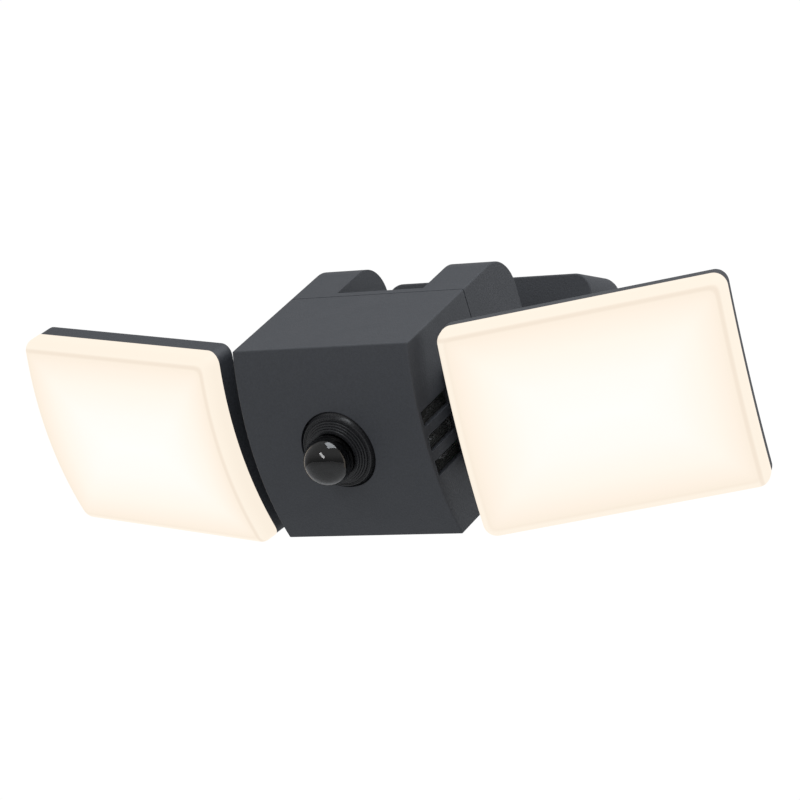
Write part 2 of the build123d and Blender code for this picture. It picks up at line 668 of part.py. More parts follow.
with BuildPart() as wall_plate:
    add(block(BOX_W - 12, BOX_H - 12, -PLATE, 0, corner=5))
    for x in TABS_X:
        for side in SIDES.values():
            add(block(14, TAB_Z - 38, -TAB_Y - PLATE, -TAB_Y, centre=(x, side * (TAB_Z + 38) / 2)))
            add(block(14, 2, -TAB_Y, -PLATE, centre=(x, side * 39)))
            add(block(14, PLATE, -15, -TAB_Y, centre=(x, side * (TAB_Z - PLATE / 2))))
    with BuildSketch(Plane.XY.offset(-BOX_H / 2)):
        with Locations(*[(x, TAB_SCREW_Y) for x in TABS_X]):
            Circle(1.5)
    extrude(amount=10, mode=Mode.SUBTRACT)
    wall_holes = corners(WALL_HOLES[0] / 2, WALL_HOLES[1] / 2)
    add(posts(WALL_HOLE_R, -PLATE - 1, 1, wall_holes), mode=Mode.SUBTRACT)
    add(posts(11, -PLATE - 1, 1, [(0, 0)]), mode=Mode.SUBTRACT)

with BuildPart() as cable_grommet:
    add(tube(11, CABLE_R, 0, PLATE, Plane.XZ))
    add(tube(13.5, CABLE_R, PLATE, PLATE + 2.5, Plane.XZ))

TERMINAL_Z = 26.0
TERMINAL_XS = (-12, 0, 12)

with BuildPart() as terminal_block:
    add(block(40, 16, -17.5, -PLATE, centre=(0, TERMINAL_Z), corner=1))
    add(posts(2.4, -18, -12, [(x, TERMINAL_Z + 3) for x in TERMINAL_XS]), mode=Mode.SUBTRACT)
    with BuildSketch(Plane.XY.offset(TERMINAL_Z - 9)):
        with Locations(*[(x, -8) for x in TERMINAL_XS]):
            Circle(2.2)
    extrude(amount=10, mode=Mode.SUBTRACT)

with BuildPart() as terminal_screws:
    add(posts(2.3, -16.5, -12, [(x, TERMINAL_Z + 3) for x in TERMINAL_XS]))
    for x in TERMINAL_XS:
        add(block(4.6, 0.8, -17, -15.8, centre=(x, TERMINAL_Z + 3)), mode=Mode.SUBTRACT)

ARM_W = 40.0
ARM_FLANGE = 5.0

with BuildPart() as arm:
    add(block(64, 50, -BOX_DEPTH - ARM_FLANGE, -BOX_DEPTH, corner=8))
    fillet(arm.faces().sort_by(Axis.Y)[0].edges(), 1.5)
    add(block(ARM_W, 2 * HINGE_R, -HINGE_OUT, -BOX_DEPTH - 1))
    fillet(arm.edges().filter_by(Axis.Y).filter_by(lambda edge: edge.length > 20), 4)
    hinge_plane = Plane((0, -HINGE_OUT, 0), x_dir=(0, 1, 0), z_dir=(1, 0, 0))
    add(tube(HINGE_R, 0, -HINGE_W / 2, HINGE_W / 2, hinge_plane))
    rims = arm.edges().filter_by(GeomType.CIRCLE)
    fillet(rims.filter_by(lambda edge: abs(edge.center().X) > HINGE_W / 2 - 0.1), 0.8)
    add(tube(BOLT_BORE_R, 0, -HINGE_W, HINGE_W, hinge_plane), mode=Mode.SUBTRACT)
    add(posts(3.5, -HINGE_OUT - HINGE_R, 0, [(0, CHANNEL_Z)]), mode=Mode.SUBTRACT)
    add(posts(ARM_SCREW_R, -BOX_DEPTH - 4, -BOX_DEPTH, FLANGE_HOLES), mode=Mode.SUBTRACT)

arm_screws = screws(FLANGE_HOLES, 3.6, 2.6, ARM_SCREW_R, 6.5, -BOX_DEPTH + BOX_FRONT)

with BuildPart() as hinge_washers:
    for side in SIDES.values():
        add(tube(14, 4.2, side * HINGE_W / 2, side * (SLOT_W / 2 - 0.05), hinge_plane))

# ---------------------------------------------------------------- rest pose and files
os.makedirs("parts", exist_ok=True)

ROOT_PIECES = {
    "wall_plate": wall_plate.part,
    "wall_box": wall_box.part,
    "wall_gasket": wall_gasket.part,
    "box_screws": box_screws.part,
    "cable_grommet": cable_grommet.part,
    "terminal_block": terminal_block.part,
    "terminal_screws": terminal_screws.part,
    "arm": arm.part,
    "arm_screws": arm_screws,
    "hinge_washers": hinge_washers.part,
}
CAMERA_PIECES = {
    "front_shell": front_shell.part,
    "rear_shell": rear_shell.part,
    "shell_seal": shell_seal.part,
    "shell_screws": screws(SCREW_POSTS, 3, 1.8, 1.5, 14, -25.35),
    "wire_grommet": wire_grommet.part,
    "tilt_bolt": tilt_bolt.part,
    "tilt_nut": tilt_nut.part,
    "hinge_caps": hinge_caps.part,
    "lens_ring": lens_ring.part,
    "dome_cover": dome_cover.part,
    "dome_seal": dome_seal.part,
    "lens_barrel": lens_barrel.part,
    "lens_glass": lens_glass.part,
    "lens_holder": lens_holder.part,
    "ir_board": ir_board.part,
    "ir_leds": ir_leds.part,
    "image_sensor": image_sensor.part,
    "sensor_board": sensor_board.part,
    "main_board": main_board.part,
    "main_chips": main_chips.part,
    "power_board": power_board.part,
    "transformer": transformer.part,
    "capacitors": capacitors.part,
    "antenna": antenna.part,
    "speaker": sounder(1, 14, 36),
    "siren": sounder(-1, 12, 38),
    "vent_meshes": vent_meshes.part,
    "swivel_pins": swivel_pins.part,
    "bracket_screws": bracket_screws.part,
}
LIGHT_PIECES = {
    "diffuser": diffuser.part,
    "light_back": light_back_drilled.part,
    "light_seal": light_seal.part,
    "led_board": led_board.part,
    "leds": leds.part,
    "light_bracket": light_bracket.part,
    "light_screws": light_screws,
    "light_pin": light_pin.part,
}

for label, piece in ROOT_PIECES.items():
    save(piece, label)
for label, piece in CAMERA_PIECES.items():
    save(piece, label, CAMERA_FRAME)
for name, side in SIDES.items():
    save(swivel_bracket(side), f"swivel_bracket_{name}", CAMERA_FRAME)
    arm_piece = light_arm.part if side > 0 else light_arm.part.mirror(Plane.YZ)
    save(arm_piece, f"light_arm_{name}", swivel_frame(name))
    for label, piece in LIGHT_PIECES.items():
        save(piece, f"{label}_{name}", light_frame(name))
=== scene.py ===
"""Looks of the floodlight security camera: finishes, fine meshes, studio and camera round the CAD frame."""

import json
import math

import bmesh
import bpy
from mathutils import Matrix, Quaternion, Vector


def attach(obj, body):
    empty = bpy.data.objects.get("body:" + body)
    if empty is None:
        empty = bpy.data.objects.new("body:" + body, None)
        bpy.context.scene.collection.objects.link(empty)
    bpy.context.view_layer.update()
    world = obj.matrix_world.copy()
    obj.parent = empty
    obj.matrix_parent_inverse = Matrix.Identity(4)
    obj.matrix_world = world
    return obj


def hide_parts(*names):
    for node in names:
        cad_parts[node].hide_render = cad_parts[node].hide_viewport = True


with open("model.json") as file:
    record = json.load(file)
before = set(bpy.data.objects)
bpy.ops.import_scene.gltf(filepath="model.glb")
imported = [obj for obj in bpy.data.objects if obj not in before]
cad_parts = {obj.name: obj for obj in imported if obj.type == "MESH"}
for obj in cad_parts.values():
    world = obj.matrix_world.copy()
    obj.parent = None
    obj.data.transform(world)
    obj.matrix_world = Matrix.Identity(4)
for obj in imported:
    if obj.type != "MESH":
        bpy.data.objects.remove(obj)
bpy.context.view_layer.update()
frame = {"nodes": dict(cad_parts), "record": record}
NODES = frame["nodes"]
RECORD = frame["record"]
MM = 0.001

# ---------------------------------------------------------------- frames of the moving parts at rest
HINGE_OUT = 89 * MM
CAMERA_FRAME = Matrix.Translation((0, -HINGE_OUT, 0)) @ Matrix.Rotation(math.radians(30), 4, "X")
SWIVEL = Vector((66, -52.4, -1.2)) * MM
LIGHT_TILT_AXIS = Vector((57, -10.5, 0)) * MM
SIDES = {"left": -1, "right": 1}
SWIVEL_REST = {"left": -14.4, "right": 20.0}
TILT_REST = {"left": 1.9, "right": -7.9}
LIGHT_W = 140 * MM
LIGHT_H = 104.2 * MM


def light_frame(name):
    """A light's own frame: on its tilt axis, looking towards -Y."""
    side = Vector((SIDES[name], 1, 1))
    swivel = Matrix.Translation(SWIVEL * side) @ Matrix.Rotation(math.radians(SWIVEL_REST[name]), 4, "Z")
    tilt = Matrix.Translation(LIGHT_TILT_AXIS * side) @ Matrix.Rotation(math.radians(TILT_REST[name]), 4, "X")
    return CAMERA_FRAME @ swivel @ tilt


LIGHT_FRAMES = {name: light_frame(name) for name in SIDES}


# ---------------------------------------------------------------- shader node helpers
def node(tree, kind, inputs=None, **props):
    """A shader node with its properties and inputs set; a socket as an input value is linked."""
    made = tree.nodes.new("ShaderNode" + kind)
    for key, value in props.items():
        setattr(made, key, value)
    for key, value in (inputs or {}).items():
        if isinstance(value, bpy.types.NodeSocket):
            tree.links.new(value, made.inputs[key])
        else:
            made.inputs[key].default_value = value
    return made


def place(tree, matrix=None):
    """Coordinates fixed to the piece, in metres, in the row frame or in a part's own frame."""
    out = node(tree, "TexCoord").outputs["Object"]
    if matrix is None:
        return out
    inputs = {"Vector": out, "Location": matrix.to_translation(), "Rotation": matrix.to_euler()}
    return node(tree, "Mapping", inputs, vector_type="TEXTURE").outputs[0]


def noise(tree, vector, scale, detail=2.0, rough=0.5):
    inputs = {"Vector": vector, "Scale": scale, "Detail": detail, "Roughness": rough}
    return node(tree, "TexNoise", inputs).outputs[0]


def stretched(tree, vector, scale):
    """Coordinates scaled by a different factor along each axis."""
    return node(tree, "VectorMath", {0: vector, 1: scale}, operation="MULTIPLY").outputs[0]


def math_node(tree, operation, a, b=0.0):
    return node(tree, "Math", {0: a, 1: b}, operation=operation).outputs[0]


def span(tree, value, low, high, to_low, to_high, smooth=False):
    """value taken from low..high to to_low..to_high."""
    inputs = {"Value": value, "From Min": low, "From Max": high, "To Min": to_low, "To Max": to_high}
    kind = "SMOOTHSTEP" if smooth else "LINEAR"
    return node(tree, "MapRange", inputs, interpolation_type=kind).outputs[0]


def vary(tree, texture, to_low, to_high):
    """A noise texture's usual range taken to to_low..to_high."""
    return span(tree, texture, 0.3, 0.7, to_low, to_high)


def mix(tree, factor, a, b):
    """Colour a to colour b."""
    made = node(tree, "Mix", data_type="RGBA")
    for index, value in ((0, factor), (6, a), (7, b)):
        if isinstance(value, bpy.types.NodeSocket):
            tree.links.new(value, made.inputs[index])
        elif index:
            made.inputs[index].default_value = (*value, 1)
        else:
            made.inputs[index].default_value = value
    return made.outputs[2]


def bump(tree, height, depth, normal=None):
    """Surface relief of that depth in metres, on top of a given normal."""
    inputs = {"Height": height, "Distance": depth}
    if normal is not None:
        inputs["Normal"] = normal
    return node(tree, "Bump", inputs).outputs[0]


def round_edges(tree, radius):
    """Normal with every sharp edge softened, and how near an edge a point is, from 0 to 1."""
    soft = node(tree, "Bevel", {"Radius": radius}, samples=6).outputs[0]
    flat = node(tree, "NewGeometry").outputs["Normal"]
    same = node(tree, "VectorMath", {0: soft, 1: flat}, operation="DOT_PRODUCT").outputs["Value"]
    off_edge, on_edge = 0.995, 0.8
    return soft, span(tree, same, off_edge, on_edge, 0.0, 1.0)


def shaded(colour, factor):
    """The colour made darker or lighter."""
    return tuple(min(1.0, channel * factor) for channel in colour)


def new_material(name, **plain):
    """An empty node material with one Principled shader; plain values go on its own sockets."""
    made = bpy.data.materials.new(name)
    made.use_nodes = True
    tree = made.node_tree
    tree.nodes.clear()
    shader = node(tree, "BsdfPrincipled")
    output = node(tree, "OutputMaterial")
    tree.links.new(shader.outputs[0], output.inputs[0])
    for key, value in plain.items():
        shader.inputs[key.replace("_", " ")].default_value = value
    return made, tree, shader


def drive(tree, shader, **sockets):
    """Links node outputs to the shader's sockets."""
    for key, value in sockets.items():
        tree.links.new(value, shader.inputs[key.replace("_", " ")])


# ---------------------------------------------------------------- finishes
def moulded(name, colour, rough=(0.54, 0.6), grain=1000, depth=0.16, edge_highlight_level=0.8, radius=0.5):
    """Spark-textured moulding: a fine grain, slow cloudiness, and a painted highlight that makes the edges
    lighter.
    """
    made, tree, shader = new_material(name, Specular_IOR_Level=0.45)
    at = place(tree)
    cloud = noise(tree, at, 14, 3)
    speck = noise(tree, at, grain, 3, 0.6)
    pits = noise(tree, at, grain * 2.6, 1)
    soft, near = round_edges(tree, radius * MM)
    tone = mix(tree, cloud, shaded(colour, 0.9), shaded(colour, 0.98))
    tone = mix(tree, span(tree, speck, 0.36, 0.64, 0.0, 1.0), tone, shaded(colour, 1.11))
    # painted highlight: colour lightened along the edges, by an amount that varies with the cloud noise
    edge_highlight_mask = math_node(tree, "MULTIPLY", near, vary(tree, cloud, edge_highlight_level * 0.5, edge_highlight_level))
    tone = mix(tree, edge_highlight_mask, tone, shaded(colour, 2.0))
    relief = math_node(tree, "ADD", speck, math_node(tree, "MULTIPLY", pits, 0.5))
    drive(
        tree,
        shader,
        Base_Color=tone,
        Roughness=vary(tree, noise(tree, at, 60, 4), *rough),
        Normal=bump(tree, relief, depth * MM, soft),
    )
    return made


def powder_coated(name, colour):
    """Matt powder coat on metal: orange peel under a fine sparkle."""
    made, tree, shader = new_material(name, Specular_IOR_Level=0.1)
    at = place(tree)
    peel = noise(tree, at, 700, 2, 0.4)
    fleck = noise(tree, at, 5200, 0)
    soft, near = round_edges(tree, 0.4 * MM)
    tone = mix(tree, noise(tree, at, 18, 2), shaded(colour, 0.9), shaded(colour, 1.1))
    tone = mix(tree, span(tree, fleck, 0.66, 0.74, 0.0, 0.5), tone, shaded(colour, 3.0))
    # painted highlight: colour lightened along the edges
    tone = mix(tree, math_node(tree, "MULTIPLY", near, 0.3), tone, shaded(colour, 2.2))
    drive(
        tree,
        shader,
        Base_Color=tone,
        Roughness=vary(tree, peel, 0.5, 0.64),
        Normal=bump(tree, peel, 0.035 * MM, soft),
    )
    return made


def metal(name, colour, rough=(0.22, 0.4), streak=(900, 40, 900), stain=0.25):
    """Bare or plated metal: drawn streaks, slight blotches, and a painted highlight brightening the edges."""
    made, tree, shader = new_material(name, Metallic=1.0, Anisotropic=0.3)
    at = place(tree)
    lines = noise(tree, stretched(tree, at, streak), 1.0, 4, 0.6)
    blotch = noise(tree, at, 55, 4, 0.6)
    soft, near = round_edges(tree, 0.25 * MM)
    tone = mix(tree, math_node(tree, "MULTIPLY", blotch, stain), colour, shaded(colour, 0.55))
    # painted highlight: colour brightened along the edges
    tone = mix(tree, math_node(tree, "MULTIPLY", near, 0.5), tone, shaded(colour, 1.35))
    drive(
        tree,
        shader,
        Base_Color=tone,
        Roughness=vary(tree, lines, *rough),
        Normal=bump(tree, lines, 0.006 * MM, soft),
    )
    return made


def rubber(name, colour):
    """Dull rubber with a fine bloom."""
    made, tree, shader = new_material(name, Specular_IOR_Level=0.3, Sheen_Weight=0.15, Sheen_Roughness=0.6)
    at = place(tree)
    grain = noise(tree, at, 2200, 3, 0.6)
    bloom = noise(tree, at, 70, 4)
    soft, _ = round_edges(tree, 0.4 * MM)
    drive(
        tree,
        shader,
        Base_Color=mix(tree, bloom, colour, shaded(colour, 2.2)),
        Roughness=vary(tree, bloom, 0.72, 0.9),
        Normal=bump(tree, grain, 0.02 * MM, soft),
    )
    return made


def nylon(name, colour):
    """Natural nylon: milky, faintly flowed, with light scattered inside."""
    made, tree, shader = new_material(name, Subsurface_Weight=0.2, Subsurface_Scale=0.5 * MM)
    at = place(tree)
    flow = noise(tree, stretched(tree, at, (60, 60, 400)), 1.0, 3)
    soft, _ = round_edges(tree, 0.3 * MM)
    drive(
        tree,
        shader,
        Base_Color=mix(tree, flow, shaded(colour, 0.88), colour),
        Roughness=vary(tree, flow, 0.38, 0.5),
        Normal=bump(tree, noise(tree, at, 900, 2), 0.012 * MM, soft),
    )
    return made


def turned_black(name, colour, matrix):
    """Satin black moulding with fine rings turned about its frame's Y axis."""
    made, tree, shader = new_material(name, Specular_IOR_Level=0.35)
    at = place(tree, matrix)
    flat = stretched(tree, at, (1, 0, 1))
    radius = node(tree, "VectorMath", {0: flat}, operation="LENGTH").outputs["Value"]
    ring_pitch = 0.28 * MM
    rings = math_node(tree, "SINE", math_node(tree, "MULTIPLY", radius, 2 * math.pi / ring_pitch))
    dust = noise(tree, at, 1600, 3, 0.6)
    soft, near = round_edges(tree, 0.12 * MM)
    tone = mix(tree, span(tree, dust, 0.5, 0.75, 0.0, 0.1), colour, shaded(colour, 2.0))
    # painted highlight: colour lightened along the ridge noses and edges
    tone = mix(tree, math_node(tree, "MULTIPLY", near, 0.4), tone, shaded(colour, 5.0))
    relief = math_node(tree, "ADD", math_node(tree, "MULTIPLY", rings, 0.35), dust)
    drive(
        tree,
        shader,
        Base_Color=tone,
        Roughness=vary(tree, dust, 0.2, 0.32),
        Normal=bump(tree, relief, 0.0015 * MM, soft),
    )
    return made


def smoked(name, colour, matrix):
    """Smoked clear polycarbonate with a trace of flow and dust."""
    made, tree, shader = new_material(name, Transmission_Weight=1.0, IOR=1.5, Coat_Weight=0.2)
    at = place(tree, matrix)
    haze = noise(tree, at, 220, 4)
    drive(
        tree,
        shader,
        Base_Color=mix(tree, haze, colour, shaded(colour, 1.08)),
        Roughness=vary(tree, haze, 0.0, 0.008),
    )
    return made


def coated_glass(name, dark, reflection_tint):
    """Coated lens or sensor window: near black, with the coating's coloured reflection painted into the
    colour towards the rim.
    """
    made, tree, shader = new_material(name, IOR=1.6, Coat_Weight=1.0, Coat_Roughness=0.02)
    at = place(tree, CAMERA_FRAME)
    rim = node(tree, "LayerWeight", {"Blend": 0.35}).outputs["Facing"]
    cloud = noise(tree, at, 260, 2)
    # painted reflection: the colour turns to the reflection colour where the surface is seen edge-on
    tone = mix(tree, span(tree, rim, 0.2, 0.9, 0.0, 1.0), dark, reflection_tint)
    drive(
        tree,
        shader,
        # painted reflection also laid in soft patches by the cloud noise
        Base_Color=mix(tree, vary(tree, cloud, 0.0, 0.25), tone, shaded(reflection_tint, 0.6)),
        Roughness=vary(tree, cloud, 0.03, 0.07),
    )
    return made


def circuit_board(name, mask_colour, copper, matrix, pitch=2.2):
    """Solder mask over copper: traces and round pads on a fine grid; pitch is in mm."""
    made, tree, shader = new_material(name, Specular_IOR_Level=0.6, Coat_Weight=0.4, Coat_Roughness=0.2)
    at = place(tree, matrix)
    split = node(tree, "SeparateXYZ", {0: at}).outputs
    flat = node(tree, "CombineXYZ", {"X": split["X"], "Y": split["Z"]}).outputs[0]
    tracks = node(
        tree,
        "TexBrick",
        {
            "Vector": flat,
            "Scale": 1 / (pitch * MM),
            "Mortar Size": 0.06,
            "Brick Width": 3.0,
            "Row Height": 0.5,
        },
    ).outputs["Fac"]
    cells = node(tree, "TexVoronoi", {"Vector": flat, "Scale": 0.45 / (pitch * MM)}).outputs["Distance"]
    pads = span(tree, cells, 0.14, 0.17, 1.0, 0.0)
    cloud = noise(tree, at, 120, 3)
    tone = mix(tree, cloud, shaded(mask_colour, 0.85), shaded(mask_colour, 1.1))
    tone = mix(tree, math_node(tree, "MULTIPLY", tracks, 0.5), tone, shaded(mask_colour, 1.7))
    tone = mix(tree, pads, tone, copper)
    drive(
        tree,
        shader,
        Base_Color=tone,
        Roughness=vary(tree, cloud, 0.3, 0.45),
        Normal=bump(tree, math_node(tree, "MAXIMUM", tracks, pads), 0.03 * MM),
    )
    return made


def wrapped(name, colour, pitch, depth=0.04):
    """Tape or sleeve with overlapping turns; pitch and depth are in mm."""
    made, tree, shader = new_material(name, Specular_IOR_Level=0.5, Coat_Weight=0.3, Coat_Roughness=0.15)
    at = place(tree, CAMERA_FRAME)
    turns = node(
        tree, "TexWave", {"Vector": at, "Scale": 0.05 / (pitch * MM), "Distortion": 0.6}, bands_direction="Y"
    ).outputs["Fac"]
    cloud = noise(tree, at, 150, 3)
    tone = mix(tree, turns, shaded(colour, 0.7), colour)
    drive(
        tree,
        shader,
        Base_Color=mix(tree, span(tree, cloud, 0.4, 0.8, 0.0, 0.3), tone, shaded(colour, 1.2)),
        Roughness=vary(tree, cloud, 0.25, 0.42),
        Normal=bump(tree, turns, depth * MM),
    )
    return made


def rim_distance(tree, x, z):
    """How far a place on a light's front lies in from the rim at +X and +Z, blended round the corner."""
    across = math_node(tree, "SUBTRACT", LIGHT_W / 2, x)
    along = math_node(tree, "SUBTRACT", LIGHT_H / 2, z)
    corner = 6 * MM
    return node(tree, "Math", {0: across, 1: along, 2: corner}, operation="SMOOTH_MIN").outputs[0]


def opal(name, matrix):
    """Opal diffuser lit from inside: cool in the middle, warm at the rim, with a soft line at one fold."""
    made, tree, shader = new_material(name, Specular_IOR_Level=0.1, Emission_Strength=1.0)
    at = place(tree, matrix)
    split = node(tree, "SeparateXYZ", {0: at}).outputs
    x, z = split["X"], split["Z"]
    inwards = rim_distance(tree, math_node(tree, "ABSOLUTE", x), math_node(tree, "ABSOLUTE", z))
    ramp_length = 60 * MM
    ramp = node(tree, "ValToRGB", {0: math_node(tree, "DIVIDE", inwards, ramp_length)})
    stops = (
        (0.0, (0.95, 0.85, 0.725)),
        (0.045, (0.965, 0.872, 0.75)),
        (0.07, (0.925, 0.818, 0.692)),
        (0.09, (0.95, 0.843, 0.718)),
        (0.16, (0.975, 0.87, 0.755)),
        (0.32, (1.0, 0.92, 0.825)),
        (0.58, (1.0, 0.957, 0.9)),
        (1.0, (0.993, 0.982, 0.957)),
    )
    elements = ramp.color_ramp.elements
    while len(elements) < len(stops):
        elements.new(0.5)
    for element, (position, colour) in zip(elements, stops):
        element.position = position
        element.color = (*colour, 1)
    fold_inset = 4.3 * MM
    off_fold = math_node(tree, "ABSOLUTE", math_node(tree, "SUBTRACT", rim_distance(tree, x, z), fold_inset))
    fine = noise(tree, at, 900, 2)
    folded = span(tree, off_fold, 0.3 * MM, 1.6 * MM, 0.8, 0.0, smooth=True)
    glow = mix(tree, vary(tree, fine, 0.0, 0.02), ramp.outputs["Color"], (0.9, 0.8, 0.7))
    glow = mix(tree, folded, glow, (0.87, 0.757, 0.635))
    drive(
        tree,
        shader,
        Base_Color=mix(tree, fine, (0.030, 0.028, 0.025), (0.036, 0.034, 0.03)),
        Emission_Color=glow,
        Roughness=vary(tree, fine, 0.5, 0.6),
        Normal=bump(tree, fine, 0.006 * MM),
    )
    return made


def phosphor(name, matrix):
    """LED faces: yellow phosphor in a pale frame, lit."""
    made, tree, shader = new_material(name, Emission_Strength=3.0)
    at = place(tree, matrix)
    grain = noise(tree, at, 3000, 2)
    drive(
        tree,
        shader,
        Base_Color=mix(tree, grain, (0.9, 0.72, 0.2), (0.98, 0.86, 0.4)),
        Emission_Color=mix(tree, grain, (1.0, 0.82, 0.5), (1.0, 0.9, 0.66)),
        Roughness=vary(tree, grain, 0.4, 0.6),
        Normal=bump(tree, grain, 0.02 * MM),
    )
    return made


ANTHRACITE = (0.0295, 0.0325, 0.039)
FINISHES = {
    "dark_plastic": moulded("dark_plastic", ANTHRACITE),
    # near black: the arms' own black, made darker still as painted shade on the arms and hub
    "dark_metal": powder_coated("dark_metal", (0.011, 0.012, 0.0135)),
    "zinc_steel": metal("zinc_steel", (0.62, 0.63, 0.65), streak=(60, 900, 500)),
    "steel_screws": metal("steel_screws", (0.5, 0.51, 0.53)),
    "brass_screws": metal("brass_screws", (0.75, 0.58, 0.3)),
    "black_rubber": rubber("black_rubber", (0.014, 0.014, 0.015)),
    "nylon_washer": nylon("nylon_washer", (0.72, 0.71, 0.66)),
    "white_nylon": nylon("white_nylon", (0.82, 0.81, 0.78)),
    "black_ring": turned_black("black_ring", (0.013, 0.0135, 0.015), CAMERA_FRAME),
    "smoked_dome": smoked("smoked_dome", (0.035, 0.036, 0.042), CAMERA_FRAME),
    "lens_glass": coated_glass("lens_glass", (0.004, 0.004, 0.008), (0.05, 0.02, 0.10)),
    "sensor_glass": coated_glass("sensor_glass", (0.006, 0.006, 0.008), (0.03, 0.06, 0.05)),
    "ir_lens": coated_glass("ir_lens", (0.05, 0.04, 0.05), (0.20, 0.12, 0.20)),
    "circuit_board": circuit_board("circuit_board", (0.012, 0.11, 0.045), (0.62, 0.5, 0.26), CAMERA_FRAME),
    "shield_can": metal("shield_can", (0.6, 0.6, 0.61), rough=(0.3, 0.5), streak=(500, 500, 40)),
    "transformer_tape": wrapped("transformer_tape", (0.78, 0.58, 0.08), 1.6),
    "capacitor_can": wrapped("capacitor_can", (0.02, 0.03, 0.08), 4.0, 0.02),
    "speaker_metal": metal("speaker_metal", (0.42, 0.43, 0.45)),
    "vent_mesh": powder_coated("vent_mesh", (0.05, 0.052, 0.052)),
    "led_board_white": circuit_board(
        "led_board_white", (0.82, 0.82, 0.8), (0.7, 0.66, 0.55), LIGHT_FRAMES["right"], 4.0
    ),
}
for name, matrix in LIGHT_FRAMES.items():
    FINISHES["opal_diffuser_" + name] = opal("opal_diffuser_" + name, matrix)
    FINISHES["led_phosphor_" + name] = phosphor("led_phosphor_" + name, matrix)

SLOTS = {part["node"]: part["material_slot"] for part in RECORD["subparts"]}
for label, piece in NODES.items():
    finish = SLOTS[label]
    if finish not in FINISHES:
        finish += "_left" if label.endswith("_left") else "_right"
    piece.data.materials.clear()
    piece.data.materials.append(FINISHES[finish])


# ---------------------------------------------------------------- finer meshes
SHARP_ANGLE = math.radians(35)


def add_piece(name, mesh_maker, matrix, body, slot, replaced):
    """A mesh piece drawn in a part's own frame, in mm, then put in place of CAD pieces on their body."""
    work = bmesh.new()
    mesh_maker(work)
    bmesh.ops.scale(work, vec=(MM, MM, MM), verts=work.verts)
    bmesh.ops.transform(work, matrix=matrix, verts=work.verts)
    bmesh.ops.recalc_face_normals(work, faces=work.faces)
    mesh = bpy.data.meshes.new(name)
    work.to_mesh(mesh)
    work.free()
    mesh.polygons.foreach_set("use_smooth", [True] * len(mesh.polygons))
    mesh.set_sharp_from_angle(angle=SHARP_ANGLE)
    made = bpy.data.objects.new(name, mesh)
    bpy.context.scene.collection.objects.link(made)
    mesh.materials.append(FINISHES[slot])
    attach(made, body)
    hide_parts(*replaced)


def lathe(work, points, steps):
    """Turns a closed (radius, y) outline about the Y axis."""
    rings = []
    for step in range(steps):
        angle = 2 * math.pi * step / steps
        cos, sin = math.cos(angle), math.sin(angle)
        rings.append([work.verts.new((radius * cos, y, radius * sin)) for radius, y in points])
    for step in range(steps):
        here, there = rings[step], rings[(step + 1) % steps]
        for i in range(len(points)):
            j = (i + 1) % len(points)
            work.faces.new((here[i], here[j], there[j], there[i]))


# sizes in mm, in the camera frame
POCKET_R = 20.3
POCKET_FLOOR_Y = -92.0
FRONT_Y = -95.99  # middle of the bowed front face
RING_R = 18.6
LAND_Y = FRONT_Y - 1.2  # flat outer land of the ring
LAND_R = RING_R - 2
RING_FRONT_Y = LAND_Y - 3.5
RING_IN_R = 12.6
DOME_BORE_R = 11.7
NECK_BORE_R = 10.7
NECK_Y = -99.59
FLANGE_BORE_R = 12.7
FLANGE_Y = -95.5
RIDGES = 4
GROOVE = 0.35
GROOVE_HALF_W = 0.12
LAND_GROOVES = (17.9, 17.2)
SKIRT_R = POCKET_R - 0.2
SKIRT_H = 1.9
RING_STEPS = 192


def ring_outline():
    """Half section of the dome's ring as (radius, y) points: a skirt, a grooved land, then rising ridges."""
    skirt_top_y = POCKET_FLOOR_Y - SKIRT_H
    points = [(FLANGE_BORE_R, POCKET_FLOOR_Y), (SKIRT_R, POCKET_FLOOR_Y), (SKIRT_R, skirt_top_y)]
    points += [(SKIRT_R - 0.5, skirt_top_y - 0.6), (RING_R + 0.4, skirt_top_y - 1.5)]
    points += [(RING_R, LAND_Y + 0.5), (RING_R - 0.1, LAND_Y + 0.15), (RING_R - 0.4, LAND_Y)]
    for radius in LAND_GROOVES:
        middle = radius - GROOVE_HALF_W
        points += [(radius, LAND_Y), (middle, LAND_Y + GROOVE), (middle - GROOVE_HALF_W, LAND_Y)]
    points += [(LAND_R + 0.15, LAND_Y)]
    step_in = (LAND_R - RING_IN_R) / RIDGES
    step_out = (LAND_Y - RING_FRONT_Y) / RIDGES
    for ridge in range(RIDGES):
        radius, y = LAND_R - ridge * step_in, LAND_Y - ridge * step_out
        points += [(radius, y + GROOVE), (radius, y - 0.85 * step_out), (radius - 0.06, y - 0.97 * step_out)]
        points += [(radius - 0.16, y - 1.02 * step_out), (radius - step_in + 0.2, y - step_out)]
    points += [(DOME_BORE_R, RING_FRONT_Y), (DOME_BORE_R - 0.2, RING_FRONT_Y + 0.15)]
    points += [(NECK_BORE_R, NECK_Y), (NECK_BORE_R, FLANGE_Y), (FLANGE_BORE_R, FLANGE_Y)]
    return points


def ridged_ring(work):
    """The dome's ring, turned from its outline."""
    lathe(work, ring_outline(), RING_STEPS)


add_piece("lens_ring_ridged", ridged_ring, CAMERA_FRAME, "camera_body", "black_ring", ["lens_ring"])

WIRE_R = 0.14
WIRE_CORNERS = 5
WIRE_PITCH = 1.1
WAVE = 0.9 * WIRE_R
MESH_MIDDLE_Y, MESH_LONG, MESH_TALL = -78.4, 26.2, 37.6
MESH_X = 47.15


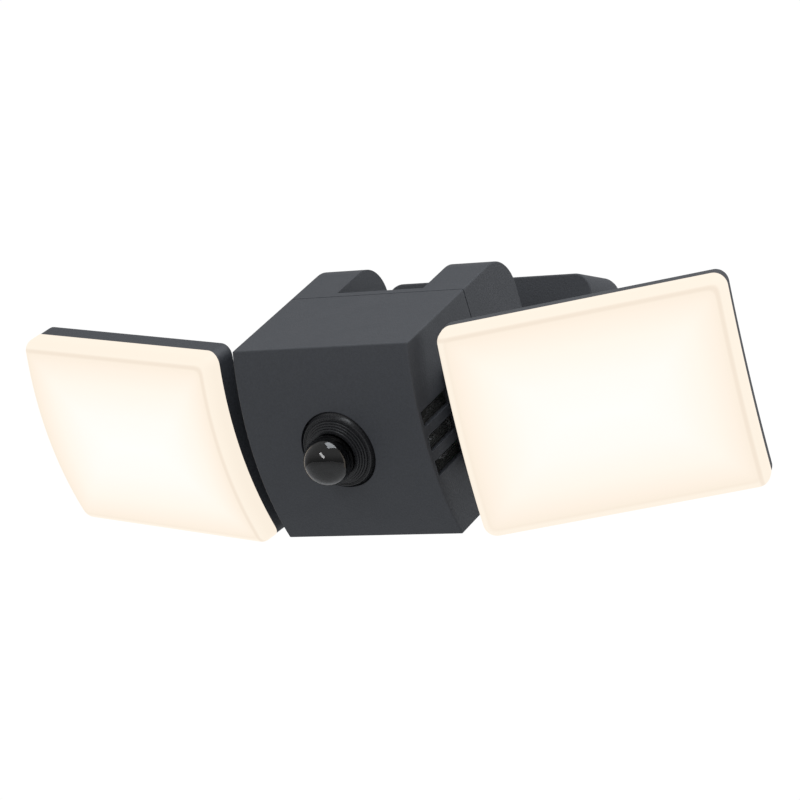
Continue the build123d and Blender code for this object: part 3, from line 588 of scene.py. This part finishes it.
def woven_wire(work, path, cross):
    """A thin wire along a path; cross gives the two directions across it."""
    rings = []
    for point in path:
        rings.append([])
        for corner in range(WIRE_CORNERS):
            angle = 2 * math.pi * corner / WIRE_CORNERS
            offset = cross[0] * (WIRE_R * math.cos(angle)) + cross[1] * (WIRE_R * math.sin(angle))
            rings[-1].append(work.verts.new(point + offset))
    for here, there in zip(rings, rings[1:]):
        for corner in range(WIRE_CORNERS):
            after = (corner + 1) % WIRE_CORNERS
            work.faces.new((here[corner], here[after], there[after], there[corner]))
    work.faces.new(rings[0])
    work.faces.new(rings[-1])


def woven_meshes(work):
    """Plain-weave wire cloth behind the slots of both sides."""
    out, along, up = Vector((1, 0, 0)), Vector((0, 1, 0)), Vector((0, 0, 1))
    long_count, tall_count = int(MESH_LONG / WIRE_PITCH), int(MESH_TALL / WIRE_PITCH)
    weave = ((along, up, tall_count, long_count, 0), (up, along, long_count, tall_count, 1))
    for side in SIDES.values():
        for first, second, wires, crossings, phase in weave:
            for wire in range(wires + 1):
                level = (wire - wires / 2) * WIRE_PITCH
                path = []
                for half in range(2 * crossings + 1):
                    at = (half / 2 - crossings / 2) * WIRE_PITCH
                    wave = math.cos(math.pi * (half / 2 + wire + phase)) * WAVE
                    centre = Vector((side * (MESH_X + wave), MESH_MIDDLE_Y, 0))
                    path.append(centre + first * at + second * level)
                woven_wire(work, path, (out, second))


add_piece("vent_mesh_woven", woven_meshes, CAMERA_FRAME, "camera_body", "vent_mesh", ["vent_meshes"])


# ---------------------------------------------------------------- studio
FLOOR_Z = -0.6
BACKDROP = 1.02
GLOSSY_SHARE = 0.5


def studio():
    """A pale floor well under the part, a white surround, dimmer for glossy rays, and three soft lights."""
    world = bpy.data.worlds.new("studio")
    bpy.context.scene.world = world
    world.use_nodes = True
    tree = world.node_tree
    tree.nodes.clear()
    up = node(tree, "SeparateXYZ", {0: node(tree, "TexCoord").outputs["Generated"]}).outputs["Z"]
    level = span(tree, up, -0.2, 0.5, 0.42, 1.05, smooth=True)
    ray = node(tree, "LightPath").outputs
    glossy = span(tree, ray["Is Glossy Ray"], 0.0, 1.0, 1.0, GLOSSY_SHARE)
    strength = math_node(tree, "MULTIPLY", level, glossy)
    glow = node(tree, "Background", {"Color": (1, 1, 1, 1), "Strength": strength})
    seen = node(tree, "Background", {"Color": (1, 1, 1, 1), "Strength": BACKDROP})
    both = node(tree, "MixShader", {0: ray["Is Camera Ray"], 1: glow.outputs[0], 2: seen.outputs[0]})
    tree.links.new(both.outputs[0], node(tree, "OutputWorld").inputs[0])

    bpy.ops.mesh.primitive_plane_add(size=6, location=(0, -0.5, FLOOR_Z))
    floor = bpy.context.object
    floor.name = "floor"
    made, tree, shader = new_material("floor_paper", Specular_IOR_Level=0.2)
    paper = noise(tree, place(tree), 30, 4)
    drive(
        tree,
        shader,
        Base_Color=mix(tree, paper, (0.45, 0.455, 0.46), (0.48, 0.485, 0.49)),
        Roughness=vary(tree, paper, 0.8, 0.9),
    )
    floor.data.materials.append(made)

    # name, place, aim, roll in degrees, width, height, power in watts, colour
    lights = (
        ("overhead", (0.35, -0.35, 1.1), (0, -0.1, 0), 0, 0.8, 0.75, 9.0, (0.91, 0.955, 1.0)),
        ("front", (0.06, -1.6, 0.42), (0, -0.18, -0.05), -45, 0.85, 0.24, 5.0, (1.0, 1.0, 1.0)),
        ("right_fill", (0.95, 0.45, 0.3), (0, -0.08, 0), 0, 0.6, 0.6, 3.2, (0.96, 0.98, 1.0)),
    )
    for name, at, aim, roll, width, height, power, colour in lights:
        data = bpy.data.lights.new(name, "AREA")
        data.shape = "RECTANGLE"
        data.size, data.size_y, data.energy, data.color = width, height, power, colour
        lamp = bpy.data.objects.new(name, data)
        lamp.location = at
        aimed = (Vector(aim) - Vector(at)).to_track_quat("-Z", "Y")
        lamp.rotation_euler = (aimed @ Quaternion((0, 0, 1), math.radians(roll))).to_euler()
        bpy.context.scene.collection.objects.link(lamp)


studio()

# ---------------------------------------------------------------- camera
LENS = 172.4
CAMERA_AT = (0.9978, -1.7198, -0.1527)
CAMERA_RIGHT = (0.8491, 0.5282, 0)
CAMERA_UP = (0.0370, -0.0595, 0.9975)
CAMERA_BACK = (0.5269, -0.8470, -0.0700)

data = bpy.data.cameras.new("camera")
data.sensor_width = 36
data.lens = LENS
data.clip_start, data.clip_end = 0.05, 50
camera = bpy.data.objects.new("camera", data)
turn = Matrix((CAMERA_RIGHT, CAMERA_UP, CAMERA_BACK)).transposed().to_quaternion()
camera.matrix_world = Matrix.Translation(CAMERA_AT) @ turn.to_matrix().to_4x4()
bpy.context.scene.collection.objects.link(camera)
bpy.context.scene.camera = camera
bpy.context.scene.view_settings.view_transform = "Standard"
